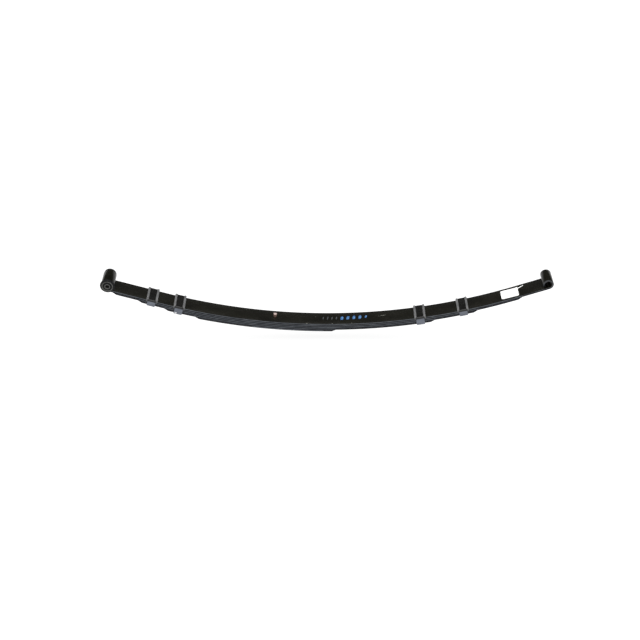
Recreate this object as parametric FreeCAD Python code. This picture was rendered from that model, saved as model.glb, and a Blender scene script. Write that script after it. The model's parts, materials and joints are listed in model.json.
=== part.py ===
"""A five-leaf automotive leaf spring with upturned eyes, at its free arch.

Millimetres. The origin is the centre of the front eye, +X runs to the centre of the rear eye,
+Y runs along the eye's bore and +Z is up. Stations are lengths along the top face of the main
leaf, from the point under the front eye's centre.

A leaf is one strip of steel that bends. Here each leaf is cut at four flex lines, so that the
spring can bend about them. Each line lies on the underside of the leaf pack, so a cut only opens.
"""

import FreeCAD, Part
import math
import os

from FreeCAD import Vector

# Main leaf: its arch is one round arc between two straight ends.
spring_length = 1448.0  # along the leaf, between the points under the two eye centres
front_straight = 183.0
rear_straight = 105.0
front_slope_deg = 17.52
arch_radius = 1779.0

# Leaf section
leaf_width = 63.5
leaf_thickness = 5.7
leaf_pitch = 5.8  # thickness and the film of paint between two leaves

# Eyes
front_eye_bore = 30.6
rear_eye_bore = 23.4
eye_lip_gap = 1.5

# Ends of the shorter leaves, second to fifth
front_tips = [18.5, 103.0, 190.0, 292.0]
rear_tips = [1360.0, 1213.0, 1072.0, 752.0]
tip_chamfer_length = 16.0
tip_chamfer_width = 9.5

# Flex lines: station, and how many leaves cross it
front_limb_line = 378.0
front_eye_line = 84.0
rear_limb_line = 808.0
rear_eye_line = 1284.0

# Centre bolt
bolt_station = 550.5
bolt_diameter = 10.0
bolt_hole_diameter = 10.4
bolt_head_diameter = 11.5
bolt_head_height = 12.5
bolt_head_chamfer = 1.0
nut_across_flats = 17.0
nut_height = 8.0
bolt_end_below_nut = 1.5

# Clips: a strap of flat steel under a leaf's end, folded over a moulded liner
clip_places = {  # station, and how many leaves it holds
    "front_outer": (148.0, 3),
    "front_inner": (237.5, 4),
    "rear_inner": (1024.0, 4),
    "rear_outer": (1164.5, 3),
}
strap_width = 26.5
strap_fold_width = 21.5
strap_thickness = 3.2
strap_fold_gap = 5.0
liner_length = 37.0
liner_gap = 0.1  # under its flat base, on the curved leaf
liner_base = 1.2
liner_side = 1.1
liner_skirt = 7.0
lip_point_height = 2.0
lip_point_length = 5.0
rivet_diameter = 8.0
rivet_hole_diameter = 8.2
rivet_head_diameter = 14.0
rivet_head_height = 3.5

# Front bushing
shell_wall = 1.2
sleeve_diameter = 19.0
sleeve_bore = 13.0
sleeve_overhang = 7.0
sleeve_clearance = 0.05
flange_diameter = 48.0
flange_rim = 2.6
flange_height = 6.4
flange_crown_diameter = 39.0
far_collar_diameter = 40.0
far_collar_height = 6.8
flange_air = 0.2

# Paper tag on the main leaf
tag_start = 1293.0
tag_length = 57.0
tag_width = 48.0
tag_thickness = 0.3
tag_gap = 0.05
tag_offset = 1.5

arc_length = spring_length - front_straight - rear_straight
front_slope = math.radians(front_slope_deg)
arc_angle = arc_length / arch_radius
half_width = leaf_width / 2
front_bore_radius = front_eye_bore / 2
rear_bore_radius = rear_eye_bore / 2
y_axis = Vector(0, 1, 0)

# The point of the main leaf's top face right under the front eye's centre
start_point = Vector(math.sin(front_slope), 0, math.cos(front_slope)) * -front_bore_radius
arc_start_point = start_point + Vector(math.cos(front_slope), 0, -math.sin(front_slope)) * front_straight
arch_centre = arc_start_point + Vector(math.sin(front_slope), 0, math.cos(front_slope)) * arch_radius


def slope_at(station):
    """The main leaf's slope at a station, in radians: it rises where this is above 0."""
    along_arc = min(max(station - front_straight, 0.0), arc_length)
    return along_arc / arch_radius - front_slope


def leaf_point(station, depth=0.0):
    """A point in the XZ plane, at a depth under the main leaf's top face."""
    slope = slope_at(station)
    tangent = Vector(math.cos(slope), 0, math.sin(slope))
    outward = Vector(math.sin(slope), 0, -math.cos(slope))
    past_arc = min(station - front_straight, 0.0) + max(station - front_straight - arc_length, 0.0)
    return arch_centre + outward * (arch_radius + depth) + tangent * past_arc


def put(shape, station, depth=0.0):
    """Moves a shape from its own frame to a station: its X along the leaf, its Z off the top face."""
    shape.rotate(Vector(0, 0, 0), Vector(0, -1, 0), math.degrees(slope_at(station)))
    shape.translate(leaf_point(station, depth))
    return shape


def along_leaf(first, last, depth):
    """The edges that follow the leaf from one station to another, at one depth."""
    bends = [front_straight, front_straight + arc_length]
    stops = [first] + [bend for bend in bends if first < bend < last] + [last]
    edges = []
    for begin, end in zip(stops, stops[1:]):
        a = leaf_point(begin, depth)
        b = leaf_point(end, depth)
        middle = (begin + end) / 2
        if front_straight < middle < front_straight + arc_length:
            edges.append(Part.Arc(a, leaf_point(middle, depth), b).toShape())
        else:
            edges.append(Part.LineSegment(a, b).toShape())
    return edges


def curved_plate(first, last, top, thickness, width):
    """A plate that follows the main leaf between two stations, with its top face at a depth."""
    bottom = top + thickness
    edges = along_leaf(first, last, top) + along_leaf(first, last, bottom)
    edges.append(Part.LineSegment(leaf_point(first, top), leaf_point(first, bottom)).toShape())
    edges.append(Part.LineSegment(leaf_point(last, top), leaf_point(last, bottom)).toShape())
    profile = Part.Face(Part.Wire(Part.__sortEdges__(edges)))
    profile.translate(Vector(0, -width / 2, 0))
    return profile.extrude(Vector(0, width, 0))


def strip(first, last, number):
    """The stretch of one leaf between two stations. Leaf number 0 is the main leaf."""
    return curved_plate(first, last, number * leaf_pitch, leaf_thickness, leaf_width)


def prism(points, height, base):
    """A prism that stands on a polygon in the XY plane."""
    corners = [Vector(x, y, base) for x, y in points]
    return Part.Face(Part.makePolygon(corners + corners[:1])).extrude(Vector(0, 0, height))


def trim_tip(leaf, tip, number, inward):
    """Cuts the two corners off a leaf's end. inward is +1 where the leaf runs on towards +X."""
    reach = inward * tip_chamfer_length
    past = -inward * 5.0
    for side in (-1, 1):
        edge = side * half_width
        inner = side * (half_width - tip_chamfer_width)
        outline = [(reach, edge), (reach, edge * 1.2), (past, edge * 1.2), (past, inner), (0, inner)]
        corner = prism(outline, 4 * leaf_thickness, -2 * leaf_thickness)
        leaf = leaf.cut(put(corner, tip, number * leaf_pitch + leaf_thickness / 2))
    return leaf


def upright_hole(station, diameter):
    """A long drill through the pack, square to the leaf."""
    drill = Part.makeCylinder(diameter / 2, 200, Vector(0, 0, -100), Vector(0, 0, 1))
    return put(drill, station)


def eye_roll(centre, station, bore_radius, outward):
    """The end of the main leaf, rolled up and over the eye. outward is -1 at the front eye."""
    outer_radius = bore_radius + leaf_thickness
    start = centre - y_axis * half_width
    ring = Part.makeCylinder(outer_radius, leaf_width, start, y_axis)
    ring = ring.cut(Part.makeCylinder(bore_radius, leaf_width, start, y_axis))
    lip_angle = math.acos((bore_radius - eye_lip_gap) / outer_radius)
    reach = 2 * outer_radius
    drop = -reach
    across = -outward * reach * math.tan(lip_angle)
    corners = [Vector(0, 0, 0), Vector(0, 0, drop), Vector(across, 0, drop)]
    mouth = Part.Face(Part.makePolygon(corners + corners[:1])).extrude(Vector(0, leaf_width, 0))
    mouth.translate(Vector(0, -half_width, 0))
    mouth.rotate(Vector(0, 0, 0), Vector(0, -1, 0), math.degrees(slope_at(station)))
    mouth.translate(centre)
    return ring.cut(mouth)


def main_leaf_front_eye():
    roll = eye_roll(Vector(0, 0, 0), 0.0, front_bore_radius, -1)
    return roll.fuse(strip(0.0, front_eye_line, 0)).removeSplitter()


def rear_eye_centre():
    return leaf_point(spring_length, -rear_bore_radius)


def main_leaf_rear_eye():
    roll = eye_roll(rear_eye_centre(), spring_length, rear_bore_radius, 1)
    return roll.fuse(strip(rear_eye_line, spring_length, 0)).removeSplitter()


def leaf_stretch(number, first, last):
    """A stretch of one leaf, with its trimmed ends and its holes."""
    leaf = strip(first, last, number)
    if number > 0 and first == front_tips[number - 1]:
        leaf = trim_tip(leaf, first, number, 1)
    if number > 0 and last == rear_tips[number - 1]:
        leaf = trim_tip(leaf, last, number, -1)
    if first < bolt_station < last:
        leaf = leaf.cut(upright_hole(bolt_station, bolt_hole_diameter))
    for station, leaves in clip_places.values():
        if number == leaves - 1 and first < station < last:
            leaf = leaf.cut(upright_hole(station, rivet_hole_diameter))
    return leaf


def clip_strap(station, leaves):
    """A band under the pack and up both its sides, with two ends folded over the liner."""
    inner = half_width + liner_side
    outer = inner + strap_thickness
    pack = leaves * leaf_pitch
    fold_bottom = liner_gap + liner_base
    top = fold_bottom + strap_thickness
    bottom = -pack - strap_thickness
    band = Part.makeBox(strap_width, 2 * outer, strap_thickness, Vector(-strap_width / 2, -outer, bottom))
    for side in (-1, 1):
        low_y = inner if side > 0 else -outer
        wall = Part.makeBox(
            strap_width, strap_thickness, top - bottom, Vector(-strap_width / 2, low_y, bottom)
        )
        fold_length = outer - strap_fold_gap / 2
        fold_y = strap_fold_gap / 2 if side > 0 else -outer
        fold = Part.makeBox(
            strap_fold_width, fold_length, strap_thickness, Vector(-strap_fold_width / 2, fold_y, fold_bottom)
        )
        band = band.fuse(wall).fuse(fold)
    band = band.removeSplitter()
    bends = [edge for edge in band.Edges if is_outer_bend(edge, outer, bottom, top)]
    band = band.makeFillet(strap_thickness * 0.8, bends)
    drill = Part.makeCylinder(rivet_hole_diameter / 2, 40, Vector(0, 0, -pack - 20), Vector(0, 0, 1))
    return put(band.cut(drill), station)


def is_outer_bend(edge, outer, bottom, top):
    """Whether an edge of the strap lies on one of its four outer bends."""
    middle = edge.CenterOfMass
    ends = [vertex.Point for vertex in edge.Vertexes]
    lengthwise = abs(ends[0].y - ends[-1].y) < 0.01 and abs(ends[0].z - ends[-1].z) < 0.01
    on_side = abs(abs(middle.y) - outer) < 0.01
    on_face = abs(middle.z - bottom) < 0.01 or abs(middle.z - top) < 0.01
    return lengthwise and on_side and on_face


def clip_liner(station):
    """A moulded saddle over the main leaf, with a lip along each side of the strap."""
    half = half_width + liner_side
    saddle = Part.makeBox(
        liner_length, 2 * half, liner_base + liner_skirt, Vector(-liner_length / 2, -half, -liner_skirt)
    )
    leaf_room = Part.makeBox(
        2 * liner_length, leaf_width, 2 * liner_skirt, Vector(-liner_length, -half_width, -2 * liner_skirt)
    )
    saddle = saddle.cut(leaf_room)
    lip_width = (liner_length - strap_fold_width) / 2
    lip_height = strap_thickness
    for side in (-1, 1):
        low_x = strap_fold_width / 2 if side > 0 else -liner_length / 2
        lip = Part.makeBox(lip_width, leaf_width, lip_height, Vector(low_x, -half_width, liner_base))
        point_y = half_width - lip_point_length
        point = Part.makeBox(
            lip_width, lip_point_length, lip_height + lip_point_height, Vector(low_x, point_y, liner_base)
        )
        saddle = saddle.fuse(lip).fuse(point)
    return put(saddle.removeSplitter(), station, -liner_gap)


def clip_rivet(station, leaves):
    """A round-headed rivet up through the strap and the leaf that carries the clip."""
    shank_top = -(leaves - 1) * leaf_pitch
    head_top = -leaves * leaf_pitch - strap_thickness
    shank = Part.makeCylinder(
        rivet_diameter / 2, shank_top - head_top - 0.3, Vector(0, 0, head_top), Vector(0, 0, 1)
    )
    head_radius = rivet_head_diameter / 2
    ball_radius = (head_radius**2 + rivet_head_height**2) / (2 * rivet_head_height)
    ball = Part.makeSphere(ball_radius, Vector(0, 0, head_top - rivet_head_height + ball_radius))
    below = Part.makeCylinder(
        head_radius, rivet_head_height, Vector(0, 0, head_top - rivet_head_height), Vector(0, 0, 1)
    )
    return put(shank.fuse(ball.common(below)).removeSplitter(), station)


def centre_bolt():
    """A bolt down through the whole pack. Its plain round head locates the spring."""
    head = Part.makeCylinder(bolt_head_diameter / 2, bolt_head_height)
    rim = [edge for edge in head.Edges if edge.CenterOfMass.z > bolt_head_height - 0.01 and edge.Closed]
    head = head.makeChamfer(bolt_head_chamfer, rim)
    length = 5 * leaf_pitch + nut_height + bolt_end_below_nut
    shank = Part.makeCylinder(bolt_diameter / 2, length, Vector(0, 0, -length), Vector(0, 0, 1))
    return put(head.fuse(shank).removeSplitter(), bolt_station)


def centre_nut():
    corner_radius = nut_across_flats / math.sqrt(3)
    corners = [
        (corner_radius * math.cos(math.radians(60 * n)), corner_radius * math.sin(math.radians(60 * n)))
        for n in range(6)
    ]
    top = -5 * leaf_pitch
    nut = prism(corners, nut_height, top - nut_height)
    thread = Part.makeCylinder(
        bolt_diameter / 2, 2 * nut_height, Vector(0, 0, top - 1.5 * nut_height), Vector(0, 0, 1)
    )
    return put(nut.cut(thread), bolt_station)


def turned(points):
    """A solid of revolution about the eye's axis, from (radius, y) corners."""
    corners = [Vector(radius, y, 0) for radius, y in points]
    return Part.Face(Part.makePolygon(corners + corners[:1])).revolve(Vector(0, 0, 0), y_axis, 360)


def bushing_shell():
    inner = front_bore_radius - shell_wall
    return turned(
        [
            (inner, -half_width),
            (front_bore_radius, -half_width),
            (front_bore_radius, half_width),
            (inner, half_width),
        ]
    )


def bushing_rubber():
    """Rubber bonded in the shell, with a domed flange at -Y and a plain collar at +Y."""
    inner = sleeve_diameter / 2 + sleeve_clearance
    outer = front_bore_radius - shell_wall
    near_face = -half_width - flange_air
    far_face = half_width + flange_air
    return turned(
        [
            (inner, -half_width - flange_height),
            (flange_crown_diameter / 2, -half_width - flange_height),
            (flange_diameter / 2 - 1.5, -half_width - flange_rim - 1.0),
            (flange_diameter / 2, -half_width - flange_rim),
            (flange_diameter / 2, near_face),
            (outer, near_face),
            (outer, far_face),
            (far_collar_diameter / 2, far_face),
            (far_collar_diameter / 2, half_width + far_collar_height - 1.0),
            (far_collar_diameter / 2 - 1.0, half_width + far_collar_height),
            (inner, half_width + far_collar_height),
        ]
    )


def bushing_sleeve():
    end = half_width + sleeve_overhang
    return turned(
        [
            (sleeve_bore / 2, -end),
            (sleeve_diameter / 2, -end),
            (sleeve_diameter / 2, end),
            (sleeve_bore / 2, end),
        ]
    )


def paper_tag():
    top = -tag_gap - tag_thickness
    tag = curved_plate(tag_start, tag_start + tag_length, top, tag_thickness, tag_width)
    tag.translate(Vector(0, tag_offset, 0))
    return tag


def leaves():
    """Every stretch of every leaf, by node name."""
    found = {
        "main_leaf_front_eye": main_leaf_front_eye(),
        "main_leaf_front": leaf_stretch(0, front_eye_line, front_limb_line),
        "main_leaf_seat": leaf_stretch(0, front_limb_line, rear_limb_line),
        "main_leaf_rear": leaf_stretch(0, rear_limb_line, rear_eye_line),
        "main_leaf_rear_eye": main_leaf_rear_eye(),
        "second_leaf_front_tip": leaf_stretch(1, front_tips[0], front_eye_line),
        "second_leaf_front": leaf_stretch(1, front_eye_line, front_limb_line),
        "second_leaf_seat": leaf_stretch(1, front_limb_line, rear_limb_line),
        "second_leaf_rear": leaf_stretch(1, rear_limb_line, rear_eye_line),
        "second_leaf_rear_tip": leaf_stretch(1, rear_eye_line, rear_tips[0]),
    }
    for number, name in ((2, "third"), (3, "fourth")):
        found[f"{name}_leaf_front"] = leaf_stretch(number, front_tips[number - 1], front_limb_line)
        found[f"{name}_leaf_seat"] = leaf_stretch(number, front_limb_line, rear_limb_line)
        found[f"{name}_leaf_rear"] = leaf_stretch(number, rear_limb_line, rear_tips[number - 1])
    found["fifth_leaf_front"] = leaf_stretch(4, front_tips[3], front_limb_line)
    found["fifth_leaf_seat"] = leaf_stretch(4, front_limb_line, rear_tips[3])
    return found


def clip_pieces():
    found = {}
    for name, (station, held) in clip_places.items():
        found[f"{name}_clip_strap"] = clip_strap(station, held)
        found[f"{name}_clip_liner"] = clip_liner(station)
        found[f"{name}_clip_rivet"] = clip_rivet(station, held)
    return found


def fittings():
    return {
        "centre_bolt": centre_bolt(),
        "centre_nut": centre_nut(),
        "bushing_shell": bushing_shell(),
        "bushing_rubber": bushing_rubber(),
        "bushing_sleeve": bushing_sleeve(),
        "paper_tag": paper_tag(),
    }


def report_place(name, station, depth=0.0):
    point = leaf_point(station, depth)
    slope = math.degrees(slope_at(station))
    print(f"{name}: x {point.x:.3f} z {point.z:.3f} slope {slope:.3f} deg")


os.makedirs("parts", exist_ok=True)
for node, shape in {**leaves(), **clip_pieces(), **fittings()}.items():
    solids = len(shape.Solids)
    if solids != 1 or not shape.isValid():
        raise SystemExit(f"{node} has {solids} solids, valid: {shape.isValid()}")
    shape.exportStep(f"parts/{node}.step")

rear_eye = rear_eye_centre()
print(f"rear eye centre: x {rear_eye.x:.3f} z {rear_eye.z:.3f}")
report_place("front limb line", front_limb_line, 4 * leaf_pitch + leaf_thickness)
report_place("front eye line", front_eye_line, leaf_pitch + leaf_thickness)
report_place("rear limb line", rear_limb_line, 3 * leaf_pitch + leaf_thickness)
report_place("rear eye line", rear_eye_line, leaf_pitch + leaf_thickness)
report_place("centre bolt", bolt_station)
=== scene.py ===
# The looks of a five-leaf automotive leaf spring, in metres, around the imported CAD frame.
#
# Stations are lengths along the main leaf's top face from the point under the front eye's centre,
# as in the CAD part. The leaves are swept meshes.

import json
import math
import random

import bpy
from mathutils import Matrix, Vector


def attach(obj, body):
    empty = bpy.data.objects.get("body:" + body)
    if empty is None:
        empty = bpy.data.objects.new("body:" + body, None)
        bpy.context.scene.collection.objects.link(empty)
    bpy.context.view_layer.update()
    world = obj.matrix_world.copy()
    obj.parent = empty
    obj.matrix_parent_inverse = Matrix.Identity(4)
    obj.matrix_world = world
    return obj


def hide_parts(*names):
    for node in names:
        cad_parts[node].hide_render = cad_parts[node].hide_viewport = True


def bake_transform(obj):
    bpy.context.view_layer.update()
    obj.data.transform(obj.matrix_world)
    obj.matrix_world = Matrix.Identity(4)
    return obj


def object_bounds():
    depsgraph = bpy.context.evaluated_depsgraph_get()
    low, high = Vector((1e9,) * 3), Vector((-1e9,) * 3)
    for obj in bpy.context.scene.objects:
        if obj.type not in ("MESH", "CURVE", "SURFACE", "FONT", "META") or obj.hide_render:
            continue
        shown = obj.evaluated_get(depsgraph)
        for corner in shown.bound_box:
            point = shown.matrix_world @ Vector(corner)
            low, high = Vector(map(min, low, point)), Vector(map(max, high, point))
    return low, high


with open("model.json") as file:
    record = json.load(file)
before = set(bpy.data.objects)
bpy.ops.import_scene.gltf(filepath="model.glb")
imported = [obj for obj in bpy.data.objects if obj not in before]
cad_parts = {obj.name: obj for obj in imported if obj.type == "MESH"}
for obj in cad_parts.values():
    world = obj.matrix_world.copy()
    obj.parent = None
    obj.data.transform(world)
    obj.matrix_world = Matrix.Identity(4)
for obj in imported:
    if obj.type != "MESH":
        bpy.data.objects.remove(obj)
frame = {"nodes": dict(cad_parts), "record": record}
cad_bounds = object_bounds()
record = frame["record"]
mount_radius = {mount["name"]: mount["dims"]["r_mm"] / 1000 for mount in record["mounts"]}

# The arch of the main leaf
SPRING_LENGTH = 1.448
FRONT_STRAIGHT = 0.183
REAR_STRAIGHT = 0.105
FRONT_SLOPE = math.radians(17.52)
ARCH_RADIUS = 1.779
ARC_LENGTH = SPRING_LENGTH - FRONT_STRAIGHT - REAR_STRAIGHT

# Leaf section
LEAF_WIDTH = 0.0635
LEAF_THICKNESS = 0.0057
LEAF_PITCH = 0.0058
PACK = 5 * LEAF_PITCH
HALF = LEAF_WIDTH / 2
EDGE_RADIUS = 0.0005

# A leaf's free end: its corners are cut off, and its last edge is rounded over
TRIM_LENGTH = 0.016
TRIM_WIDTH = 0.0095
END_ROUND = 0.0011
END_INSET = 0.0009

# Spacing of the leaf's mesh, along the leaf and round each roll
LEAF_STEP = 0.006
FRONT_ROLL_STEP = 0.0017
REAR_ROLL_STEP = 0.0015

# Values of the attribute edge_tone, which tells the paint what part of a leaf or strap it is on
ON_ROLL = 0.05
# ON_SIDE marks a side, which gets a bluish painted reflection of the pale floor
ON_SIDE = 0.5
# IN_EDGE marks the lower edge, which gets painted shade
IN_EDGE = 1.0

# Height of the painted shade along a leaf's lower edge: over the next leaf, on the lowest leaf, and
# less in the stretch of stations where the floor lights the lowest leaf's side
SHADE_OVER_NEXT_LEAF = 0.0018
SHADE_ON_LOWEST_LEAF = 0.0036
SHADE_WHERE_LIT = 0.0006
LIT_STRETCH = (0.48, 0.71)

# Eyes. The lip is the leaf's free end, which stops just short of the leaf itself.
FRONT_BORE = 0.0153
REAR_BORE = mount_radius["rear_shackle_eye"]
LIP_GAP = 0.0015

# Where the second to the fifth leaf end, and where the bolt is
FRONT_TIPS = [0.0185, 0.103, 0.190, 0.292]
REAR_TIPS = [1.360, 1.213, 1.072, 0.752]
BOLT = 0.5505

# Clips: name, station, leaves held and the body that each rides
CLIPS = [
    ("front_outer", 0.148, 3, "front_limb"),
    ("front_inner", 0.2375, 4, "front_limb"),
    ("rear_inner", 1.024, 4, "rear_limb"),
    ("rear_outer", 1.1645, 3, "rear_limb"),
]
FRONT_SEAM = CLIPS[0][1]
REAR_SEAM = CLIPS[3][1]

# A clip's strap, and its two ends folded down on top
STRAP_WIDTH = 0.0265
FOLD_WIDTH = 0.0215
FOLD_TAPER = 0.004
STRAP = 0.0032
FOLD_GAP = 0.0008
STRAP_BEND = 0.0012

# A clip's liner, with its skirts, the horns at its far side and the dip in its lips at the near one
LINER_LENGTH = 0.0370
LINER_GAP = 0.0001
LINER_BASE = 0.0012
LINER_SIDE = 0.0011
LINER_SKIRT = 0.007
HORN = 0.0032
HORN_LENGTH = 0.006
DIP_LENGTH = 0.003

# A clip's rivet
RIVET_SHANK = 0.0040
RIVET_HEAD = 0.0070
RIVET_CROWN = 0.0035

# Centre bolt and nut
BOLT_SHANK = 0.0050
BOLT_HEAD = 0.00575
THREAD_ROOT = 0.0046
THREADS = 7
BOLT_TAIL = 0.0015
NUT_FLATS = 0.017
NUT_HEIGHT = 0.008
NUT_HOLE = 0.00505
NUT_CHAMFER = 0.0008

# Front bushing
SLEEVE_RADIUS = 0.0095
SLEEVE_END = 0.03875
SHELL_INNER = 0.0141

# The paper tag: its stations, its ys, its corner radius, how far it is askew, and its torn strip
TAG_START = 1.2932
TAG_END = 1.3498
TAG_NEAR = -0.0222
TAG_FAR = 0.0236
TAG_CORNER = 0.0042
TAG_ASKEW = 0.0030
TAG_THICKNESS = 0.00022
STRIP_START = TAG_END - 0.004
STRIP_LENGTH = 0.024
STRIP_WIDTH = 0.0050

# The floor is low enough to clear a limb that is bent all the way down
FLOOR_DROP = 0.045


# ---------------------------------------------------------------- the leaf's own frame


def slope_at(station):
    """The main leaf's slope: straight, then the arch, then straight again."""
    along_arc = min(max(station - FRONT_STRAIGHT, 0.0), ARC_LENGTH)
    return along_arc / ARCH_RADIUS - FRONT_SLOPE


def directions(slope):
    """The leaf's tangent and its normal, at a slope."""
    tangent = Vector((math.cos(slope), 0, math.sin(slope)))
    normal = Vector((-math.sin(slope), 0, math.cos(slope)))
    return tangent, normal


def arch_centre():
    tangent, normal = directions(-FRONT_SLOPE)
    return -normal * FRONT_BORE + tangent * FRONT_STRAIGHT + normal * ARCH_RADIUS


ARCH_CENTRE = arch_centre()


def on_leaf(station, y=0.0, depth=0.0):
    """A point at a depth under the main leaf's top face, between its two eyes."""
    tangent, normal = directions(slope_at(station))
    past_front = min(station - FRONT_STRAIGHT, 0.0)
    past_rear = max(station - FRONT_STRAIGHT - ARC_LENGTH, 0.0)
    point = ARCH_CENTRE - normal * (ARCH_RADIUS + depth) + tangent * (past_front + past_rear)
    return point + Vector((0, y, 0))


def on_roll(station, y, depth):
    """The same on an eye's roll: stations run on along the middle of the rolled leaf."""
    front = station < 0
    bore = FRONT_BORE if front else REAR_BORE
    foot = 0.0 if front else SPRING_LENGTH
    tangent, normal = directions(slope_at(foot))
    outward = -tangent if front else tangent
    turn = abs(station - foot) / (bore + LEAF_THICKNESS / 2)
    centre = on_leaf(foot) + normal * bore
    spoke = outward * math.sin(turn) - normal * math.cos(turn)
    return centre + spoke * (bore + depth) + Vector((0, y, 0))


def leaf_spot(station, y, depth):
    """A point on the leaf, between the eyes or round one of them."""
    if 0 <= station <= SPRING_LENGTH:
        return on_leaf(station, y, depth)
    return on_roll(station, y, depth)


def roll_length(bore):
    """How far the leaf runs on round its eye, up to the lip."""
    lip = math.acos((bore - LIP_GAP) / (bore + LEAF_THICKNESS))
    return (2 * math.pi - lip) * (bore + LEAF_THICKNESS / 2)


def station_matrix(station, height=0.0):
    """Local X along the leaf, Y across it and Z off its top face."""
    tangent, normal = directions(slope_at(station))
    turn = Matrix((tangent, (0, 1, 0), normal)).transposed().to_4x4()
    return Matrix.Translation(on_leaf(station, 0, -height)) @ turn


# ---------------------------------------------------------------- mesh helpers


def make_object(name, points, faces, material, sharp_deg=35, places=None):
    """A mesh object, smooth but for its sharp edges. places go in the attribute leaf_place."""
    mesh = bpy.data.meshes.new(name)
    mesh.from_pydata([tuple(p) for p in points], [], faces)
    mesh.validate()
    mesh.update()
    mesh.shade_smooth()
    mesh.set_sharp_from_angle(angle=math.radians(sharp_deg))
    stored = mesh.attributes.new("leaf_place", "FLOAT_VECTOR", "POINT")
    flat = [c for p in (places or points) for c in p]
    stored.data.foreach_set("vector", flat)
    obj = bpy.data.objects.new(name, mesh)
    bpy.context.scene.collection.objects.link(obj)
    materials = material if isinstance(material, (list, tuple)) else [material]
    for m in materials:
        mesh.materials.append(m)
    return obj


def store_values(obj, name, values):
    """Stores one number for each vertex, for the materials to read."""
    stored = obj.data.attributes.new(name, "FLOAT", "POINT")
    stored.data.foreach_set("value", values)


def tube_faces(rings, count, closed=False):
    """Quads between rings of count points each, and a cap on both ends of an open tube."""
    faces = []
    steps = rings if closed else rings - 1
    for i in range(steps):
        a = i * count
        b = ((i + 1) % rings) * count
        for j in range(count):
            k = (j + 1) % count
            faces.append((a + j, a + k, b + k, b + j))
    if not closed:
        last = (rings - 1) * count
        faces.append(tuple(reversed(range(count))))
        faces.append(tuple(range(last, last + count)))
    return faces


def rounded_section(half_across, half_up, radius):
    """A rounded rectangle, as (across, up) points anticlockwise."""
    steps = 3
    points = []
    for quarter in range(4):
        sign_a = 1 if quarter in (0, 3) else -1
        sign_u = 1 if quarter in (0, 1) else -1
        for step in range(steps + 1):
            turn = math.pi / 2 * (quarter + step / steps)
            across = sign_a * (half_across - radius) + radius * math.cos(turn)
            up = sign_u * (half_up - radius) + radius * math.sin(turn)
            points.append((across, up))
    return points


def lathe(name, profile, material, matrix, sides, sharp_deg=30):
    """Turns a closed profile of (radius, height) points about the local Z axis.

    Radius 0 at both ends makes it solid.
    """
    points = []
    for radius, height in profile:
        for n in range(sides):
            angle = 2 * math.pi * n / sides
            spot = Vector((radius * math.cos(angle), radius * math.sin(angle), height))
            points.append(matrix @ spot)
    return make_object(name, points, tube_faces(len(profile), sides, closed=True), material, sharp_deg)


# ---------------------------------------------------------------- materials


class Nodes:
    """A material's node tree, with short ways to add and join nodes."""

    def __init__(self, name):
        self.material = bpy.data.materials.new(name)
        self.material.use_nodes = True
        self.tree = self.material.node_tree
        self.shader = self.tree.nodes["Principled BSDF"]

    def add(self, kind, **inputs):
        node = self.tree.nodes.new(kind)
        for key, value in inputs.items():
            node.inputs[key.replace("_", " ")].default_value = value
        return node

    def join(self, out, into):
        self.tree.links.new(out, into)

    def set(self, **values):
        for key, value in values.items():
            self.shader.inputs[key.replace("_", " ")].default_value = value

    def link(self, name, out):
        """Joins an output to one of the shader's own inputs."""
        self.join(out, self.shader.inputs[name])

    def stored(self, name, output="Fac"):
        """What the mesh attribute of that name holds."""
        node = self.tree.nodes.new("ShaderNodeAttribute")
        node.attribute_name = name
        return node.outputs[output]

    def place(self):
        return self.stored("leaf_place", "Vector")

    def stretched(self, source, scale):
        node = self.add("ShaderNodeMapping", Scale=scale)
        self.join(source, node.inputs["Vector"])
        return node.outputs["Vector"]

    def noise(self, source, scale, detail=4.0):
        node = self.add("ShaderNodeTexNoise", Scale=scale, Detail=detail, Roughness=0.55)
        self.join(source, node.inputs["Vector"])
        return node.outputs["Fac"]

    def ramp(self, source, stops):
        node = self.tree.nodes.new("ShaderNodeValToRGB")
        elements = node.color_ramp.elements
        for index, (at, colour) in enumerate(stops):
            element = elements[index] if index < 2 else elements.new(at)
            element.position = at
            element.color = (*colour, 1.0) if isinstance(colour, tuple) else (colour, colour, colour, 1.0)
        self.join(source, node.inputs["Fac"])
        return node.outputs["Color"]

    def mix(self, factor, a, b):
        """Colour a where factor is 0 and b where it is 1. a and b are colours or sockets."""
        node = self.tree.nodes.new("ShaderNodeMix")
        node.data_type = "RGBA"
        self.join(factor, node.inputs["Factor"])
        for socket, value in ((node.inputs[6], a), (node.inputs[7], b)):
            if isinstance(value, tuple):
                socket.default_value = (*value, 1.0)
            else:
                self.join(value, socket)
        return node.outputs[2]

    def bump(self, height, strength, distance):
        node = self.add("ShaderNodeBump", Strength=strength, Distance=distance)
        self.join(height, node.inputs["Height"])
        self.link("Normal", node.outputs["Normal"])


# Near black for the painted shade along a leaf's lower edge, against the next leaf
EDGE_SHADE_BLACK = (0.0015, 0.0015, 0.002)
# Near black for the painted shade on the liner's skirts
SKIRT_SHADE = (0.018, 0.019, 0.021)


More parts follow.
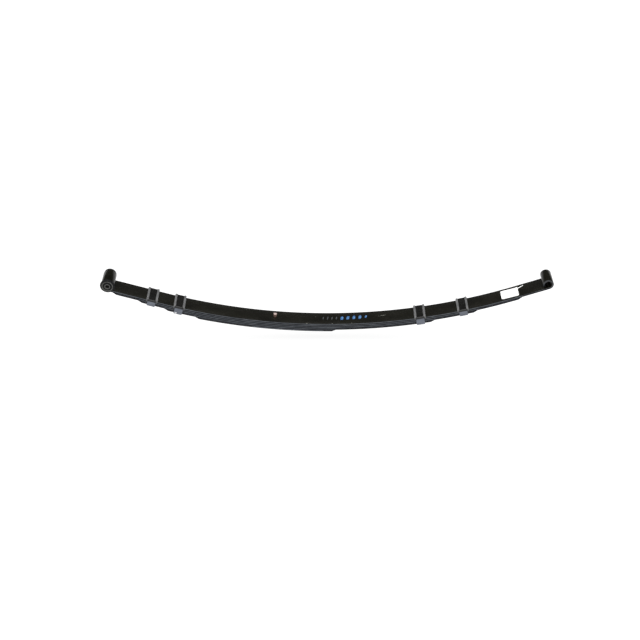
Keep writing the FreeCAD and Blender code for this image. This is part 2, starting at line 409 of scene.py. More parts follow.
def painted_steel(name, dark, light, dust, gloss, shine, side_reflection_dark, side_reflection_light):
    """Black paint on rolled bar: thin and thick patches, dust, rub marks and a fine orange peel.

    The attribute edge_tone is 0 on a face, 0.05 on an eye's roll, which shines less, 0.5 on a
    side, which gets a bluish painted reflection of the pale floor, mottled by the rub noise, and 1 in
    the lower edge, which gets painted shade against the next leaf.
    """
    n = Nodes(name)
    place = n.place()
    patches = n.noise(n.stretched(place, (1.0, 2.2, 2.2)), 9.0, 5.0)
    rub_and_reflection_noise = n.noise(n.stretched(place, (0.25, 3.0, 3.0)), 160.0, 3.0)
    specks = n.noise(place, 900.0, 2.0)
    body = n.mix(n.ramp(patches, [(0.36, 0.0), (0.68, 1.0)]), dark, light)
    dusty = n.mix(n.ramp(rub_and_reflection_noise, [(0.60, 0.0), (0.82, 0.55)]), body, dust)
    speckled = n.mix(n.ramp(specks, [(0.70, 0.0), (0.80, 0.5)]), dusty, dust)
    n.link("Roughness", n.ramp(patches, [(0.3, gloss), (0.75, gloss + 0.08)]))
    n.set(IOR=1.5)
    tone = n.stored("edge_tone")
    # Painted reflection: a side gets a bluish grey, mottled by the rub noise, for the floor it would mirror
    side = n.mix(n.ramp(rub_and_reflection_noise, [(0.38, 0.0), (0.68, 1.0)]), side_reflection_dark, side_reflection_light)
    side_reflection_mask = n.ramp(tone, [(0.1, 0.0), (0.45, 1.0)])
    # Painted shade: the lower edge is turned near black
    edge_shade_mask = n.ramp(tone, [(0.52, 0.0), (0.75, 1.0)])
    with_side_reflection = n.mix(side_reflection_mask, speckled, side)
    n.link("Base Color", n.mix(edge_shade_mask, with_side_reflection, EDGE_SHADE_BLACK))
    n.set(Specular_IOR_Level=shine)
    shines = [(0.0, shine), (0.03, 0.10), (0.08, 0.10), (0.2, shine), (0.5, shine), (0.75, 0.02)]
    n.link("Specular IOR Level", n.ramp(tone, shines))
    n.bump(n.noise(place, 420.0, 3.0), 0.12, 0.0004)
    return n.material


def moulded_plastic():
    """Grey plastic; on the skirts, where edge_tone is 1, painted shade darkens it beside the leaf's side."""
    n = Nodes("liner_grey_plastic")
    place = n.place()
    patches = n.noise(place, 60.0, 4.0)
    grey = n.ramp(patches, [(0.3, (0.095, 0.096, 0.098)), (0.72, (0.150, 0.150, 0.150))])
    tone = n.stored("edge_tone")
    skirt_shade_mask = n.ramp(tone, [(0.0, 0.0), (1.0, 1.0)])
    n.link("Base Color", n.mix(skirt_shade_mask, grey, SKIRT_SHADE))
    n.link("Roughness", n.ramp(patches, [(0.3, 0.42), (0.7, 0.58)]))
    n.bump(n.noise(place, 1600.0, 2.0), 0.2, 0.0002)
    return n.material


def bare_bolt_steel():
    """Faintly coppery cut steel with brown staining down the sides. The up-facing top is painted
    brighter than the sides, as painted light from above.
    """
    n = Nodes("bolt_steel")
    place = n.place()
    geometry = n.tree.nodes.new("ShaderNodeNewGeometry")
    apart = n.tree.nodes.new("ShaderNodeSeparateXYZ")
    n.join(geometry.outputs["True Normal"], apart.inputs["Vector"])
    stain = n.noise(n.stretched(place, (1.0, 1.0, 0.35)), 420.0, 4.0)
    side = n.ramp(stain, [(0.35, (0.30, 0.19, 0.15)), (0.70, (0.10, 0.070, 0.055))])
    bright = n.ramp(stain, [(0.30, (0.62, 0.50, 0.46)), (0.75, (0.44, 0.33, 0.30))])
    # Painted light: faces turned up get the bright top colour, faces turned aside the darker stained one
    lit_top_mask = n.ramp(apart.outputs["Z"], [(0.30, 0.0), (0.80, 1.0)])
    n.link("Base Color", n.mix(lit_top_mask, side, bright))
    n.link("Roughness", n.ramp(stain, [(0.3, 0.34), (0.7, 0.55)]))
    n.set(Metallic=0.35)
    n.bump(n.noise(place, 2400.0, 2.0), 0.15, 0.0002)
    return n.material


def turned_steel():
    """Dark turned steel, with fine marks along the sleeve."""
    n = Nodes("bushing_steel")
    place = n.place()
    wear = n.noise(n.stretched(place, (1.0, 0.2, 1.0)), 500.0, 4.0)
    grey = n.ramp(wear, [(0.3, (0.055, 0.055, 0.053)), (0.7, (0.10, 0.10, 0.098))])
    n.link("Base Color", grey)
    n.link("Roughness", n.ramp(wear, [(0.3, 0.32), (0.7, 0.5)]))
    n.set(Metallic=0.5)
    n.bump(wear, 0.08, 0.0002)
    return n.material


def shell_steel():
    """Brighter steel for the CAD's own shell, which has no stored places."""
    n = Nodes("bushing_shell_steel")
    coordinates = n.tree.nodes.new("ShaderNodeTexCoord").outputs["Object"]
    wear = n.noise(n.stretched(coordinates, (1.0, 0.2, 1.0)), 500.0, 4.0)
    grey = n.ramp(wear, [(0.3, (0.28, 0.28, 0.27)), (0.7, (0.42, 0.42, 0.41))])
    n.link("Base Color", grey)
    n.link("Roughness", n.ramp(wear, [(0.3, 0.34), (0.7, 0.5)]))
    n.set(Metallic=0.85)
    return n.material


def rubber(name, dark, light):
    """Dull rubber with a patchy bloom."""
    n = Nodes(name)
    place = n.place()
    bloom = n.noise(place, 140.0, 5.0)
    n.link("Base Color", n.mix(n.ramp(bloom, [(0.35, 0.0), (0.75, 1.0)]), dark, light))
    n.link("Roughness", n.ramp(bloom, [(0.3, 0.48), (0.7, 0.66)]))
    n.set(Specular_IOR_Level=0.12)
    n.bump(n.noise(place, 1300.0, 2.0), 0.18, 0.0002)
    return n.material


def tag_paper():
    """White paper with a faint grain along the leaf."""
    n = Nodes("tag_paper")
    place = n.place()
    fibre = n.noise(n.stretched(place, (1.0, 2.5, 1.0)), 700.0, 5.0)
    white = n.ramp(fibre, [(0.25, (0.90, 0.90, 0.88)), (0.8, (0.97, 0.97, 0.96))])
    n.link("Base Color", white)
    n.link("Roughness", n.ramp(fibre, [(0.25, 0.7), (0.8, 0.85)]))
    n.bump(fibre, 0.15, 0.0002)
    return n.material


def marking_paint(name, heart, rim):
    """Brushed-on paint: pale in patches, and darker where it thins out at the rim."""
    n = Nodes(name)
    mottle = n.noise(n.place(), 420.0, 4.0)
    blotched = n.mix(n.ramp(mottle, [(0.36, 0.0), (0.53, 1.0)]), heart, rim)
    edge = n.ramp(n.stored("rim"), [(0.30, 0.0), (0.85, 1.0)])
    n.link("Base Color", n.mix(edge, blotched, rim))
    n.link("Roughness", n.ramp(mottle, [(0.3, 0.40), (0.7, 0.55)]))
    return n.material


def floor_material():
    """A lit white floor: its own glow leaves only a faint shadow."""
    n = Nodes("pale_floor")
    coordinates = n.tree.nodes.new("ShaderNodeTexCoord").outputs["Object"]
    grain = n.noise(coordinates, 3.0, 3.0)
    grey = n.ramp(grain, [(0.3, (0.22, 0.22, 0.22)), (0.7, (0.24, 0.24, 0.24))])
    n.link("Base Color", grey)
    n.set(Roughness=0.9, Specular_IOR_Level=0.1)
    n.set(Emission_Color=(1.0, 1.0, 1.0, 1.0), Emission_Strength=0.88)
    return n.material


# The leaf sides' two colours are a painted reflection of the pale floor
LEAF_PAINT = painted_steel(
    "leaf_black_paint",
    dark=(0.0040, 0.0038, 0.0024),
    light=(0.0085, 0.0080, 0.0052),
    dust=(0.05, 0.047, 0.04),
    gloss=0.17,
    shine=0.42,
    side_reflection_dark=(0.022, 0.027, 0.036),
    side_reflection_light=(0.085, 0.094, 0.108),
)
# The strap's sides are brighter still: a painted reflection of the floor and the front light
STRAP_PAINT = painted_steel(
    "strap_black_paint",
    dark=(0.0035, 0.0034, 0.0030),
    light=(0.007, 0.0068, 0.0062),
    dust=(0.05, 0.05, 0.052),
    gloss=0.22,
    shine=0.42,
    side_reflection_dark=(0.085, 0.096, 0.120),
    side_reflection_light=(0.150, 0.165, 0.200),
)
LINER = moulded_plastic()
BOLT_STEEL = bare_bolt_steel()
STEEL = turned_steel()
RUBBER = rubber("bushing_rubber", (0.004, 0.004, 0.005), (0.012, 0.012, 0.014))
# A lighter rubber for the raised lip: a painted highlight ring
LIP_HIGHLIGHT_RUBBER = rubber("bushing_rubber_lip", (0.07, 0.07, 0.065), (0.13, 0.13, 0.12))
PAPER = tag_paper()
MARK_BLUE = marking_paint("mark_blue", (0.24, 0.45, 0.66), (0.016, 0.095, 0.28))
MARK_PALE = marking_paint("mark_pale", (0.13, 0.14, 0.15), (0.025, 0.03, 0.034))
SCUFF = marking_paint("scuff", (0.26, 0.26, 0.23), (0.07, 0.07, 0.06))
PALE = floor_material()
# A painted highlight for the lit lower front corner of the second clip's strap
CORNER_HIGHLIGHT = marking_paint("corner_highlight_paint", (0.80, 0.80, 0.82), (0.50, 0.50, 0.52))


# ---------------------------------------------------------------- leaves


def leaf_half_width(station, tips):
    """Half the leaf's width: its corners are trimmed at each of its own ends."""
    half = HALF
    for tip in tips:
        from_tip = abs(station - tip)
        if from_tip < TRIM_LENGTH:
            half = min(half, HALF - TRIM_WIDTH * (1 - from_tip / TRIM_LENGTH))
    return half


def leaf_stations(low, high, tips):
    """Evenly spaced stations, with extra ones close to a free end so that it is rounded over."""
    found = set()
    stretches = (
        (low, 0.0, FRONT_ROLL_STEP),
        (0.0, SPRING_LENGTH, LEAF_STEP),
        (SPRING_LENGTH, high, REAR_ROLL_STEP),
    )
    for start, end, spacing in stretches:
        start, end = max(start, low), min(end, high)
        if end - start > 1e-6:
            count = max(2, round((end - start) / spacing))
            found |= {start + (end - start) * n / count for n in range(count + 1)}
    for tip in tips:
        if low - 1e-6 <= tip <= high + 1e-6:
            inward = 1 if abs(tip - low) < 1e-6 else -1
            found |= {tip + inward * d for d in (0.0004, END_ROUND, TRIM_LENGTH)}
    ordered = sorted(found)
    kept = [ordered[0]]
    for station in ordered[1:]:
        if station - kept[-1] > 2e-4:
            kept.append(station)
    return kept


def leaf_section(half_across, half_up, radius, shade_reach):
    """The leaf's section as (across, up, edge_tone), with painted shade up to a height on each side."""
    lower = min(shade_reach, 2 * (half_up - radius) - 0.0008)
    corner = [math.radians(a) for a in (90, 60, 30, 0)]
    right = []
    for angle, tone in zip(corner, (0.0, 0.15, 0.4, ON_SIDE)):
        across = half_across - radius + radius * math.cos(angle)
        right.append((across, half_up - radius + radius * math.sin(angle), tone))
    right.append((half_across, -half_up + radius + lower + 0.0004, ON_SIDE))
    right.append((half_across, -half_up + radius + lower, IN_EDGE))
    for angle, tone in zip(reversed(corner), (IN_EDGE, IN_EDGE, 0.6, 0.0)):
        across = half_across - radius + radius * math.cos(angle)
        right.append((across, -half_up + radius - radius * math.sin(angle), tone))
    left = [(-across, up, tone) for across, up, tone in reversed(right)]
    return list(reversed(right)) + list(reversed(left))


def painted_shade_height(number, station):
    """How high the painted shade along a leaf's lower edge reaches up its side."""
    if number == len(FRONT_TIPS):
        return SHADE_WHERE_LIT if LIT_STRETCH[0] < station < LIT_STRETCH[1] else SHADE_ON_LOWEST_LEAF
    covered = FRONT_TIPS[number] < station < REAR_TIPS[number]
    return SHADE_OVER_NEXT_LEAF if covered else SHADE_ON_LOWEST_LEAF


def leaf_piece(name, number, low, high):
    """One leaf between two stations. An end that isn't at the bolt or a seam is a free one."""
    tips = [end for end in (low, high) if end not in (FRONT_SEAM, BOLT, REAR_SEAM)]
    points, places, tones = [], [], []
    stations = leaf_stations(low, high, tips)
    middle = number * LEAF_PITCH + LEAF_THICKNESS / 2
    for station in stations:
        half = leaf_half_width(station, tips)
        from_end = min([abs(station - tip) for tip in tips], default=1.0)
        inset = END_INSET * max(0.0, 1 - from_end / END_ROUND) ** 2
        on_eye = station < 0 or station > SPRING_LENGTH
        half_up = LEAF_THICKNESS / 2 - inset
        section = leaf_section(half - inset, half_up, EDGE_RADIUS, painted_shade_height(number, station))
        for across, up, tone in section:
            depth = middle - up
            points.append(leaf_spot(station, across, depth))
            places.append((station, across, depth + 0.2 * number))
            # On an eye's roll the painted side reflection is weakened and the lower edge gets no painted
            # shade
            tones.append(max(ON_ROLL, min(tone, ON_SIDE) * 0.5) if on_eye else tone)
    count = len(points) // len(stations)
    piece = make_object(name, points, tube_faces(len(stations), count), LEAF_PAINT, places=places)
    store_values(piece, "edge_tone", tones)
    return piece


def build_leaves():
    """The five leaves. The two that run past the outer clips are cut in four there and at the bolt."""
    front_lip = -roll_length(FRONT_BORE)
    rear_lip = SPRING_LENGTH + roll_length(REAR_BORE)
    # Name, leaf number, first and last station, bend and the CAD nodes it stands for
    pieces = [
        ("main_leaf_to_front", 0, FRONT_SEAM, BOLT, "front", ["main_leaf_front", "main_leaf_seat"]),
        ("main_leaf_front_roll", 0, front_lip, FRONT_SEAM, "front_eye", ["main_leaf_front_eye"]),
        ("main_leaf_to_rear", 0, BOLT, REAR_SEAM, "rear", ["main_leaf_rear"]),
        ("main_leaf_rear_roll", 0, REAR_SEAM, rear_lip, "rear_eye", ["main_leaf_rear_eye"]),
        ("second_leaf_to_front", 1, FRONT_SEAM, BOLT, "front", ["second_leaf_front", "second_leaf_seat"]),
        ("second_leaf_front_end", 1, FRONT_TIPS[0], FRONT_SEAM, "front_eye", ["second_leaf_front_tip"]),
        ("second_leaf_to_rear", 1, BOLT, REAR_SEAM, "rear", ["second_leaf_rear"]),
        ("second_leaf_rear_end", 1, REAR_SEAM, REAR_TIPS[0], "rear_eye", ["second_leaf_rear_tip"]),
        ("third_leaf_to_front", 2, FRONT_TIPS[1], BOLT, "front", ["third_leaf_front", "third_leaf_seat"]),
        ("third_leaf_to_rear", 2, BOLT, REAR_TIPS[1], "rear", ["third_leaf_rear"]),
        ("fourth_leaf_to_front", 3, FRONT_TIPS[2], BOLT, "front", ["fourth_leaf_front", "fourth_leaf_seat"]),
        ("fourth_leaf_to_rear", 3, BOLT, REAR_TIPS[2], "rear", ["fourth_leaf_rear"]),
        ("fifth_leaf_to_front", 4, FRONT_TIPS[3], BOLT, "front", ["fifth_leaf_front"]),
        ("fifth_leaf_to_rear", 4, BOLT, REAR_TIPS[3], "rear", ["fifth_leaf_seat"]),
    ]
    for name, number, low, high, bend_name, nodes in pieces:
        piece = leaf_piece(name, number, low, high)
        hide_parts(*nodes)
        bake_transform(piece)


# ---------------------------------------------------------------- clips


def strap_path(pack_depth):
    """The strap's middle line across the leaf, as (y, z, outward y, outward z, along the path)."""
    mid_y = HALF + LINER_SIDE + STRAP / 2
    top = LINER_GAP + LINER_BASE + STRAP / 2
    bottom = -pack_depth - STRAP / 2
    radius = STRAP_BEND + STRAP / 2
    # Each corner's y and z, and the angle at which its bend starts
    corners = [(mid_y, top, 90), (mid_y, bottom, 0), (-mid_y, bottom, -90), (-mid_y, top, -180)]
    path = [(FOLD_GAP / 2, top, 0.0, 1.0)]
    for y, z, start_deg in corners:
        centre_y = y - math.copysign(radius, y)
        centre_z = z - radius if z == top else z + radius
        for step in range(7):
            angle = math.radians(start_deg - 90 * step / 6)
            out_y, out_z = math.cos(angle), math.sin(angle)
            path.append((centre_y + radius * out_y, centre_z + radius * out_z, out_y, out_z))
    path.append((-FOLD_GAP / 2, top, 0.0, 1.0))
    return path


def densify(path):
    """Adds points on the straight runs of a path, so that its width can taper along them."""
    step = 0.0035
    found = [path[0]]
    for a, b in zip(path, path[1:]):
        length = math.hypot(b[0] - a[0], b[1] - a[1])
        count = max(1, round(length / step))
        found += [tuple(p + (q - p) * n / count for p, q in zip(a, b)) for n in range(1, count + 1)]
    return found


def clip_strap(name, station, leaves):
    """The strap round the leaves. Its two ends are folded down on top, where they are narrower."""
    to_place = station_matrix(station)
    path = densify(strap_path(leaves * LEAF_PITCH))
    fold_z = LINER_GAP + LINER_BASE
    points, tones = [], []
    for y, z, out_y, out_z in path:
        taper = 0.0
        if z > fold_z:
            taper = min(1.0, max(0.0, (HALF + LINER_SIDE - abs(y)) / FOLD_TAPER))
        thinned = 1.0 if abs(y) > FOLD_GAP / 2 + 1e-5 else 0.8
        half = (STRAP_WIDTH + (FOLD_WIDTH - STRAP_WIDTH) * taper) / 2
        for across, up in rounded_section(half, STRAP / 2 * thinned, 0.0007):
            points.append(to_place @ Vector((across, y + out_y * up, z + out_z * up)))
            # The strap's faces beside the leaves get the painted side reflection
            tones.append(ON_SIDE if abs(out_y) > 0.85 and z < 0 else 0.0)
    count = len(points) // len(path)
    strap = make_object(name, points, tube_faces(len(path), count), STRAP_PAINT)
    store_values(strap, "edge_tone", tones)
    return strap


def lip_section(half_length, fold_half, height):
    """The liner's section along the leaf: a thin base with a rounded lip on each side."""
    lip_middle = (half_length + fold_half) / 2
    lip_half = (half_length - fold_half) / 2 - 0.00015
    right = []
    for step in range(9):
        turn = math.pi * step / 8
        x = lip_middle + lip_half * math.cos(turn)
        crown = math.sin(turn) ** 0.5 if 0 < step < 8 else 0.0
        right.append((x, LINER_BASE + height * (0.25 + 0.75 * crown)))
    inner = [(fold_half + 0.0003, LINER_BASE), (0.0, LINER_BASE), (-fold_half - 0.0003, LINER_BASE)]
    left = [(-x, z) for x, z in reversed(right)]
    return [(half_length, 0.0)] + right + inner + left + [(-half_length, 0.0)]


def box_with_rounds(length, y_low, y_high, z_low, z_high, x_low, radius):
    """Points and faces of a small block, with rounded edges, from x_low along the leaf."""
    half_y = (y_high - y_low) / 2
    half_z = (z_high - z_low) / 2
    section = rounded_section(half_y, half_z, radius)
    rounding = radius * 0.6
    x_high = x_low + length
    stops = ((x_low, rounding), (x_low + rounding, 0), (x_high - rounding, 0), (x_high, rounding))
    points = []
    for x, inset in stops:
        for across, up in section:
            y = across * (1 - inset / half_y) + (y_low + y_high) / 2
            z = up * (1 - inset / half_z) + (z_low + z_high) / 2
            points.append(Vector((x, y, z)))
    return points, tube_faces(4, len(section))


def clip_liner(name, station):
    """The moulded saddle: a lip each side of the strap, horns at the far side and four skirts."""
    to_place = station_matrix(station, LINER_GAP)
    points = []
    half_length = LINER_LENGTH / 2
    steps = 28
    for n in range(steps + 1):
        y = -HALF + LEAF_WIDTH * n / steps
        horn = max(0.0, (y - (HALF - HORN_LENGTH)) / HORN_LENGTH) ** 2
        dip = max(0.0, (-HALF + DIP_LENGTH - y) / DIP_LENGTH) ** 2
        height = (STRAP + 0.0001) * (1 - 0.45 * dip) + HORN * horn
        for x, z in lip_section(half_length, FOLD_WIDTH / 2, height):
            points.append(Vector((x, y, z)))
    count = len(points) // (steps + 1)
    faces = tube_faces(steps + 1, count)
    tones = [0.0] * len(points)
    skirt = (LINER_LENGTH - STRAP_WIDTH) / 2 - 0.0002
    for side in (-1, 1):
        y_low = HALF if side > 0 else -HALF - LINER_SIDE
        for x_low in (-half_length, half_length - skirt):
            block, block_faces = box_with_rounds(
                skirt, y_low, y_low + LINER_SIDE, -LINER_SKIRT, LINER_BASE, x_low, 0.0004
            )
            faces += [tuple(i + len(points) for i in face) for face in block_faces]
            points += block
            # Painted shade: the skirts darken downwards from the leaf's top
            tones += [min(1.0, max(0.0, -p.z / 0.0015)) for p in block]
    liner = make_object(name, [to_place @ p for p in points], faces, LINER, sharp_deg=50)
    store_values(liner, "edge_tone", tones)
    return liner


def clip_rivet(name, station, leaves):
    """A domed rivet head under the strap, with its shank up into the leaf."""
    leaf_top = -(leaves - 1) * LEAF_PITCH
    bottom = -leaves * LEAF_PITCH - STRAP
    profile = [(0.0, leaf_top - 0.0003), (RIVET_SHANK - 0.0004, leaf_top - 0.0003)]
    profile += [(RIVET_SHANK, leaf_top - 0.0008), (RIVET_SHANK, bottom), (RIVET_HEAD, bottom)]
    for step in range(1, 8):
        turn = math.pi / 2 * step / 8
        profile.append((RIVET_HEAD * math.cos(turn), bottom - RIVET_CROWN * math.sin(turn)))
    profile.append((0.0, bottom - RIVET_CROWN))
    return lathe(name, profile, STRAP_PAINT, station_matrix(station), sides=40)


def build_clips():
    for name, station, leaves, body in CLIPS:
        made = [
            (clip_strap(f"{name}_strap", station, leaves), "strap", "clip_paint"),
            (clip_liner(f"{name}_liner", station), "liner", "liner_plastic"),
            (clip_rivet(f"{name}_rivet", station, leaves), "rivet", "clip_paint"),
        ]
        for piece, kind, slot in made:
            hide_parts(f"{name}_clip_{kind}")
            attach(piece, body)
    build_corner_highlight()


def build_corner_highlight():
    """A painted highlight: a white patch at the lower front corner of the second clip's strap, where light
    catches it.
    """
    station, leaves, body = CLIPS[1][1:]
    face = -HALF - LINER_SIDE - STRAP
    bottom = -leaves * LEAF_PITCH
    points, faces = box_with_rounds(
        length=0.0070,
        y_low=face - 0.0001,
        y_high=face + 0.0006,
        z_low=bottom - 0.0005,
        z_high=bottom + 0.0055,
        x_low=-0.0105,
        radius=0.0003,
    )
    to_place = station_matrix(station)
    corner_highlight_piece = make_object("clip_corner_highlight", [to_place @ p for p in points], faces, CORNER_HIGHLIGHT)
    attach(corner_highlight_piece, body)


# ---------------------------------------------------------------- centre bolt and nut


def build_centre_bolt():
    """A round-headed bolt down through the pack, with its threads showing under the last leaf."""
    place = station_matrix(BOLT)
    end = PACK + NUT_HEIGHT + BOLT_TAIL
    crown = [(0.0, 0.01245), (0.0026, 0.0125), (0.0042, 0.0122), (0.0052, 0.0115)]
    head = [(BOLT_HEAD, 0.0104), (BOLT_HEAD, 0.0009), (0.0055, 0.0001)]
    profile = crown + head + [(BOLT_SHANK, 0.0001), (BOLT_SHANK, -PACK)]
    for turn in range(THREADS):
        low = -PACK - (end - PACK) * (turn + 0.5) / THREADS
        profile += [(BOLT_SHANK, low + 0.0003), (THREAD_ROOT, low - 0.0002)]
    profile += [(0.0044, -end), (0.0, -end)]
    bolt = lathe("centre_bolt_turned", profile, BOLT_STEEL, place, sides=48)
    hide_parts("centre_bolt")
    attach(bolt, "seat")


def build_centre_nut():
    """A hexagon nut whose corners are turned off at both ends."""
    place = station_matrix(BOLT)
    sides = 96
    mouth = NUT_HOLE + NUT_CHAMFER
    flat_ring = 0.0078
    points = []
    # How far down from the nut's top, and the radius there, or None for the hexagon itself
    levels = [(0.0, mouth), (0.0, flat_ring), (0.0, None), (0.0014, None), (0.0066, None)]
    levels += [(NUT_HEIGHT, None), (NUT_HEIGHT, flat_ring), (NUT_HEIGHT, mouth)]
    for down, radius in levels:
        edge = min(down, NUT_HEIGHT - down)
        cone = NUT_FLATS / 2 + edge * 1.7 - 0.0001
        for n in range(sides):
            angle = 2 * math.pi * n / sides
            hexagon = NUT_FLATS / 2 / math.cos((angle % (math.pi / 3)) - math.pi / 6)
            r = min(hexagon, cone) if radius is None else min(radius, hexagon)
            points.append(place @ Vector((r * math.cos(angle), r * math.sin(angle), -PACK - down)))
    for down in (NUT_HEIGHT - NUT_CHAMFER, NUT_CHAMFER):
        for n in range(sides):
            angle = 2 * math.pi * n / sides
            x, y = NUT_HOLE * math.cos(angle), NUT_HOLE * math.sin(angle)
            points.append(place @ Vector((x, y, -PACK - down)))
    faces = tube_faces(len(levels) + 2, sides, closed=True)
    nut = make_object("centre_nut_hex", points, faces, BOLT_STEEL)
    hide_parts("centre_nut")
    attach(nut, "seat")


# ---------------------------------------------------------------- front bushing


def along_eye():
    """Turns the local Z axis onto +Y, with its origin at the front eye's centre."""
    return Matrix.Rotation(math.radians(-90), 4, "X")


def build_bushing():
    """The rubber with its two flanges, the sleeve through it and the look of the shell round it."""
    inner = SLEEVE_RADIUS + 0.00005
    near = -HALF - 0.0002
    far = HALF + 0.0002
    # Both flanges from the sleeve outwards: the near one, with its raised lip, and then the far one
    near_flange = [
        (inner, -0.0372), (0.0104, -0.0372), (0.0112, -0.0360), (0.0140, -0.0356), (0.0150, -0.0362),
        (0.0157, -0.0375), (0.0163, -0.0380), (0.0171, -0.0379), (0.0179, -0.0371), (0.0207, -0.0363),
        (0.0230, -0.0355), (0.0237, -0.0344), (0.0240, -0.0333), (0.0237, -0.0324), (0.0229, near),
    ]
    far_flange = [
        (inner, 0.0372), (0.0128, 0.0376), (0.0160, 0.0385), (0.0190, 0.0384), (0.0197, 0.0380),
        (0.0200, 0.0370), (0.0200, far + 0.0006), (0.0196, far),
    ]
    profile = near_flange + [(SHELL_INNER, near), (SHELL_INNER, far)] + far_flange[::-1]
    sides = 96
    rubbers = [RUBBER, LIP_HIGHLIGHT_RUBBER]
    rubber_piece = lathe("bushing_rubber_moulding", profile, rubbers, along_eye(), sides, sharp_deg=50)
    # Painted highlight: the raised lip, which is the bands between the profile's points 4 and 8, is a
    # lighter rubber
    for polygon in rubber_piece.data.polygons:
        if 4 <= polygon.index // sides < 8:
            polygon.material_index = 1
    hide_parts("bushing_rubber")
    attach(rubber_piece, "front_eye")

    bore = mount_radius["front_bolt_bore"]
    sleeve_profile = [
        (bore, -SLEEVE_END + 0.0008), (bore + 0.0007, -SLEEVE_END), (0.0090, -SLEEVE_END),
        (SLEEVE_RADIUS, -SLEEVE_END + 0.0005), (SLEEVE_RADIUS, SLEEVE_END - 0.0005),
        (0.0090, SLEEVE_END), (bore + 0.0007, SLEEVE_END), (bore, SLEEVE_END - 0.0008),
    ]
    sleeve = lathe("bushing_sleeve_turned", sleeve_profile, STEEL, along_eye(), sides=72)
    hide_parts("bushing_sleeve")
    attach(sleeve, "bushing_core")

    shell_node = frame["nodes"]["bushing_shell"]
    shell_node.data.materials.clear()
    shell_node.data.materials.append(shell_steel())


# ---------------------------------------------------------------- tag and marks


def sheet_on_leaf(stations, ys, lift, shape, thickness):
    """Points, faces and places of a thin sheet over a grid of stations and ys.

    lift gives a grid spot's height over the leaf, and shape the station and y that it is moved to.
    """
    points, places = [], []
    for side in (0, 1):
        for station in stations:
            for y in ys:
                height = lift(station, y) + side * thickness
                points.append(leaf_spot(*shape(station, y), -height))
                places.append((station, y, side * 0.01))
    rows, columns = len(stations), len(ys)
    layer = rows * columns
    faces = []
    for i in range(rows - 1):
        for j in range(columns - 1):
            a, b = i * columns + j, (i + 1) * columns + j
            faces.append((a, a + 1, b + 1, b))
            faces.append((a + layer, b + layer, b + 1 + layer, a + 1 + layer))
    rim = [i * columns for i in range(rows)] + [(rows - 1) * columns + j for j in range(1, columns)]
    rim += [i * columns + columns - 1 for i in range(rows - 2, -1, -1)] + list(range(columns - 2, 0, -1))
    for a, b in zip(rim, rim[1:] + rim[:1]):
        faces.append((a, b, b + layer, a + layer))
    return points, faces, places


def tag_lift(station, y):
    """The tag lies nearly flat: it ripples a little, and curls up at its far rear corner."""
    edge = max(0.0, (station - TAG_END + 0.010) / 0.010) * max(0.0, (y - TAG_FAR + 0.012) / 0.012)
    ripple = 0.00006 * (1 + math.sin(station * 210 + y * 90))
    return 0.00006 + ripple + 0.0018 * edge**2


def tag_shape(station, y):
    """Draws the grid in at the tag's corners, and turns it slightly askew."""
    from_end = min(y - TAG_NEAR, TAG_FAR - y)
    pull = TAG_CORNER - math.sqrt(max(0.0, TAG_CORNER**2 - max(0.0, TAG_CORNER - from_end) ** 2))
    s = min(max(station, TAG_START + pull), TAG_END - pull)
    return s, y - TAG_ASKEW * (s - TAG_START) / (TAG_END - TAG_START)


def strip_lift(station, y):
    """The torn strip rises more and more steeply towards its end."""
    run = max(0.0, (station - STRIP_START) / STRIP_LENGTH)
    return 0.0012 + 0.0030 * run**1.6


def strip_shape(station, y):
    """Narrows the strip towards its end, and leans it away from the near side."""
    run = (station - STRIP_START) / STRIP_LENGTH
    narrow = 1 - 0.45 * run
    return station, 0.0120 + (y - STRIP_WIDTH / 2) * narrow + 0.0045 * run


def even(low, high, steps):
    return [low + (high - low) * n / steps for n in range(steps + 1)]


def build_tag():
    """A blank paper tag, with a torn strip that curls up from its far corner."""
    stations = even(TAG_START, TAG_END, 24)
    ys = even(TAG_NEAR, TAG_FAR, 20)
    points, faces, places = sheet_on_leaf(stations, ys, tag_lift, tag_shape, TAG_THICKNESS)
    strip_stations = even(STRIP_START, STRIP_START + STRIP_LENGTH, 16)
    strip_ys = [0.0, 0.0017, 0.0034, STRIP_WIDTH]
    strip = sheet_on_leaf(strip_stations, strip_ys, strip_lift, strip_shape, 0.0003)
    strip_points, strip_faces, strip_places = strip
    faces += [tuple(i + len(points) for i in face) for face in strip_faces]
    points += strip_points
    places += strip_places
    tag = make_object("paper_tag_sheet", points, faces, PAPER, sharp_deg=60, places=places)
    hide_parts("paper_tag")
    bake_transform(tag)


def dab(station, y, length, width, lean, seed):
    """A small blot of paint on the top face: its points, faces, places and rim values."""
    corners = 18
    chance = random.Random(seed)
    radii = [1 + chance.uniform(-0.13, 0.13) for _ in range(corners)]
    points, places, rim = [], [], []
    # The outline's foot, the outline itself and the blot's thick heart: size, height and rim value
    for scale, height, rim_value in ((1.0, 0.00001, 1.0), (1.0, 0.00005, 1.0), (0.55, 0.00008, 0.0)):
        for n, wobble in enumerate(radii):
            angle = 2 * math.pi * n / corners
            squared = 1 / max(abs(math.cos(angle)), abs(math.sin(angle))) ** 0.55
            along = length / 2 * math.cos(angle) * squared * wobble * scale
            across = width / 2 * math.sin(angle) * squared * wobble * scale
            s = station + along + lean * across
            points.append(leaf_spot(s, y + across, -height))
            places.append((s, y + across, 0.0))
            rim.append(rim_value)
    faces = tube_faces(3, corners)
    return points, faces, places, rim


def dab_piece(name, dabs, material):
    """Several dabs as one piece. Each is its station, y, length, width, lean and seed."""
    points, faces, places, rims = [], [], [], []
    for found in dabs:
        more_points, more_faces, more_places, more_rims = dab(*found)
        faces += [tuple(i + len(points) for i in face) for face in more_faces]
        points += more_points
        places += more_places
        rims += more_rims
    piece = make_object(name, points, faces, material, sharp_deg=60, places=places)
    store_values(piece, "rim", rims)
    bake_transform(piece)


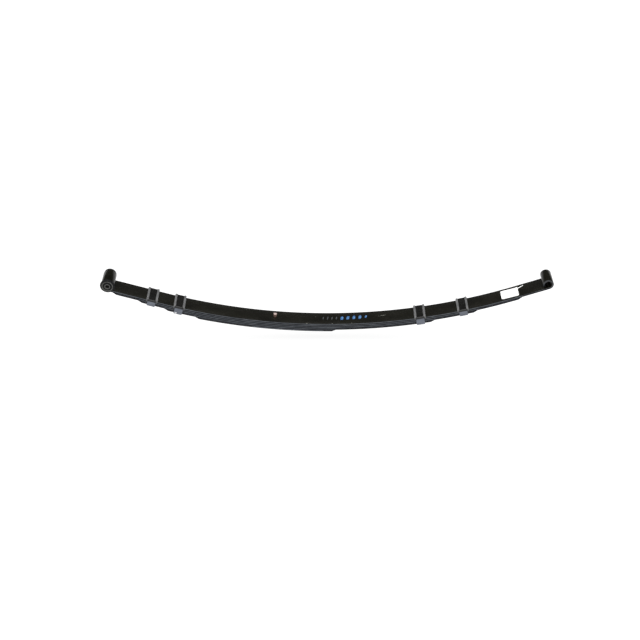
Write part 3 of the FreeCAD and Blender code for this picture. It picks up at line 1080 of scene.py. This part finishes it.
def build_marks():
    """A row of plain paint dabs where a spring carries its works marking, and a few scuffs."""
    pale = []
    for n in range(4):
        width = 0.0150 + 0.0020 * (n % 2)
        pale.append((0.7085 + 0.0145 * n, 0.0022, 0.0036, width, 0.16, 1 + n))
    blue = []
    for n in range(5):
        length, width = (0.0098, 0.0190) if n < 4 else (0.0065, 0.0145)
        blue.append((0.7700 + 0.0196 * n, 0.0010 + 0.0009 * n, length, width, 0.12, 40 + n))
    dab_piece("marking_dabs_pale", pale, MARK_PALE)
    dab_piece("marking_dabs_blue", blue, MARK_BLUE)
    scuffs = [
        (0.905, 0.0055, 0.0150, 0.0042, 1.2, 80),
        (0.891, 0.0035, 0.0030, 0.0022, 0.0, 81),
        (0.684, 0.0096, 0.0024, 0.0022, 0.0, 82),
        (0.655, -0.0290, 0.0070, 0.0030, 0.0, 83),
        (0.738, -0.0285, 0.0040, 0.0030, 0.0, 84),
        (0.801, -0.0292, 0.0050, 0.0028, 0.0, 85),
    ]
    dab_piece("paint_scuffs", scuffs, SCUFF)


# ---------------------------------------------------------------- floor, light, camera


def build_floor(height):
    reach = 30.0
    corners = ((-reach, -reach), (reach, -reach), (reach, reach), (-reach, reach))
    points = [Vector((x, y, height)) for x, y in corners]
    floor = make_object("studio_floor", points, [(0, 1, 2, 3)], PALE)


def build_backdrop(foot):
    """A low pale wall round the floor's rim, so that a view from low down still ends in white."""
    radius, height, sides = 29.0, 4.5, 64
    points = []
    for z in (foot, foot + height):
        for n in range(sides):
            angle = 2 * math.pi * n / sides
            points.append(Vector((radius * math.cos(angle), radius * math.sin(angle), z)))
    faces = [(n, (n + 1) % sides, sides + (n + 1) % sides, sides + n) for n in range(sides)]
    wall = make_object("studio_backdrop", points, faces, PALE)


def area_light(name, place, target, size, power, colour=(1, 1, 1)):
    data = bpy.data.lights.new(name, "AREA")
    data.shape = "RECTANGLE"
    data.size, data.size_y = size
    data.energy = power
    data.color = colour
    light = bpy.data.objects.new(name, data)
    bpy.context.scene.collection.objects.link(light)
    light.location = place
    light.rotation_euler = (Vector(target) - Vector(place)).to_track_quat("-Z", "Y").to_euler()


def build_light():
    middle = (0.68, 0.0, -0.12)
    area_light("overhead_softbox", (0.68, -1.2, 7.0), (0.68, -1.2, 0.0), (16.0, 12.0), 1330)
    area_light("front_softbox", (0.3, -3.6, 1.9), middle, (3.5, 2.0), 25, (0.94, 0.97, 1.0))
    world = bpy.data.worlds.new("studio")
    world.use_nodes = True
    background = world.node_tree.nodes["Background"]
    background.inputs["Color"].default_value = (1.0, 1.0, 1.0, 1.0)
    background.inputs["Strength"].default_value = 0.10
    bpy.context.scene.world = world
    bpy.context.scene.view_settings.view_transform = "Standard"


def build_camera():
    """The camera looks down at the spring from in front of it, nearly square on."""
    aim = Vector((0.6764, 0.0, -0.1581))
    elevation = math.radians(35.35)
    heading = math.radians(0.2)
    distance = 4.041
    look = Vector(
        (
            math.sin(heading) * math.cos(elevation),
            math.cos(heading) * math.cos(elevation),
            -math.sin(elevation),
        )
    )
    data = bpy.data.cameras.new("camera")
    data.sensor_width = 36.0
    data.lens = 69.32
    camera = bpy.data.objects.new("camera", data)
    bpy.context.scene.collection.objects.link(camera)
    camera.location = aim - look * distance
    camera.rotation_euler = look.to_track_quat("-Z", "Y").to_euler()
    bpy.context.scene.camera = camera


build_camera()
build_leaves()
build_clips()
build_centre_bolt()
build_centre_nut()
build_bushing()
build_tag()
build_marks()
floor_height = cad_bounds[0][2] - FLOOR_DROP
build_floor(floor_height)
build_backdrop(floor_height)
build_light()
